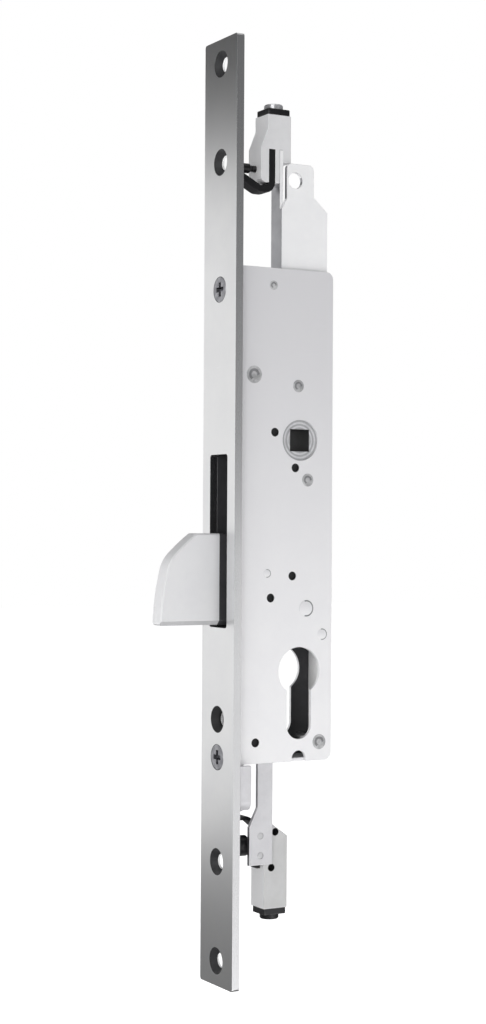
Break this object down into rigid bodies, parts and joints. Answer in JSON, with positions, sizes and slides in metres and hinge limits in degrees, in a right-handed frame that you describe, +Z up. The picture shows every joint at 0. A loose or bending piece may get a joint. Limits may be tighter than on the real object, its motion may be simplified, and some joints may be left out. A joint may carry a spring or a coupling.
{
  "type": "multi-point mortise door lock",
  "caption": "Narrow-stile mortise lock with a swing deadbolt, spindle hub, euro cylinder opening, and slides that carry drive-rod blocks above and below the case.",
  "frame": {"origin": "centre of the front plate's outer face, midway between the end fixing holes", "axes": "+X into the door from the front plate, +Z up along the plate, +Y across the plate away from the cover side"},
  "size_m": [0.0688, 0.024, 0.345],
  "materials": {
    "plate_satin": "satin nickel-plated steel plate",
    "case_zinc": "bright zinc-plated sheet steel, fine rolled grain",
    "bolt_steel": "fine-ground nickel-plated steel",
    "slide_zinc": "bright zinc-plated sheet steel",
    "hub_zinc": "zinc-plated sintered steel",
    "pin_steel": "turned steel pins and rivets",
    "block_cast": "cast zinc alloy, sand-blasted grey",
    "socket_zinc": "turned zinc-plated steel sleeve",
    "black_fitting": "black oxide, slightly glossy",
    "spring_steel": "tempered spring steel",
    "bush_bronze": "plain bronze bush",
    "screw_zinc": "zinc-plated countersunk screw"
  },
  "bodies": {
    "lock_case": {"front_plate": "plate_satin", "case_far_side": "case_zinc", "case_front_wall_upper": "case_zinc", "case_front_wall_lower": "case_zinc", "case_rear_wall": "case_zinc", "case_top_wall": "case_zinc", "case_bottom_wall": "case_zinc", "case_cover": "case_zinc", "case_pillars": "pin_steel", "bolt_buttons": "pin_steel", "slide_guide_pins": "pin_steel", "upper_lug": "pin_steel", "lower_lug": "case_zinc", "case_screws": "screw_zinc", "bolt_pivot_pin": "pin_steel", "bolt_drag_spring": "spring_steel", "bolt_drag_rivet": "pin_steel"},
    "hub_turning": {"hub": "hub_zinc"},
    "bolt_swinging": {"bolt": "bolt_steel", "bolt_bush": "bush_bronze", "bolt_drive_pin": "pin_steel"},
    "upper_slide_set": {"upper_slide": "slide_zinc", "upper_rod_block": "block_cast", "upper_block_collar": "black_fitting", "upper_rod_socket": "socket_zinc", "upper_clamp_bracket": "black_fitting", "upper_clamp_screw": "black_fitting"},
    "lower_slide_set": {"lower_slide": "slide_zinc", "lower_rod_block": "block_cast", "lower_block_collar": "black_fitting", "lower_rod_socket": "socket_zinc", "lower_clamp_bracket": "black_fitting", "lower_clamp_screw": "black_fitting", "ear_rivets": "pin_steel", "cam_dog": "slide_zinc", "cam_dog_rivets": "pin_steel"}
  },
  "joints": [
    {"name": "hub_turn", "type": "hinge", "parent": "lock_case", "child": "hub_turning", "pos_m": [0.03, 0, 0.0265], "axis": [0, 1, 0], "range_deg": [0, 90.01]},
    {"name": "bolt_swing", "type": "hinge", "parent": "lock_case", "child": "bolt_swinging", "pos_m": [0.033, 0, -0.0355], "axis": [0, 1, 0], "range_deg": [0, 61.5]},
    {"name": "upper_slide_travel", "type": "slide", "parent": "lock_case", "child": "upper_slide_set", "axis": [0, 0, -1], "range_m": [0, 0.01414]},
    {"name": "lower_slide_travel", "type": "slide", "parent": "lock_case", "child": "lower_slide_set", "axis": [0, 0, 1], "range_m": [0, 0.01414]}
  ],
  "couplings": [
    {"joint": "hub_turn", "follows": "bolt_swing", "ratio": 1.4634},
    {"joint": "upper_slide_travel", "follows": "bolt_swing", "m_per_rad": 0.013171},
    {"joint": "lower_slide_travel", "follows": "bolt_swing", "m_per_rad": 0.013171}
  ]
}
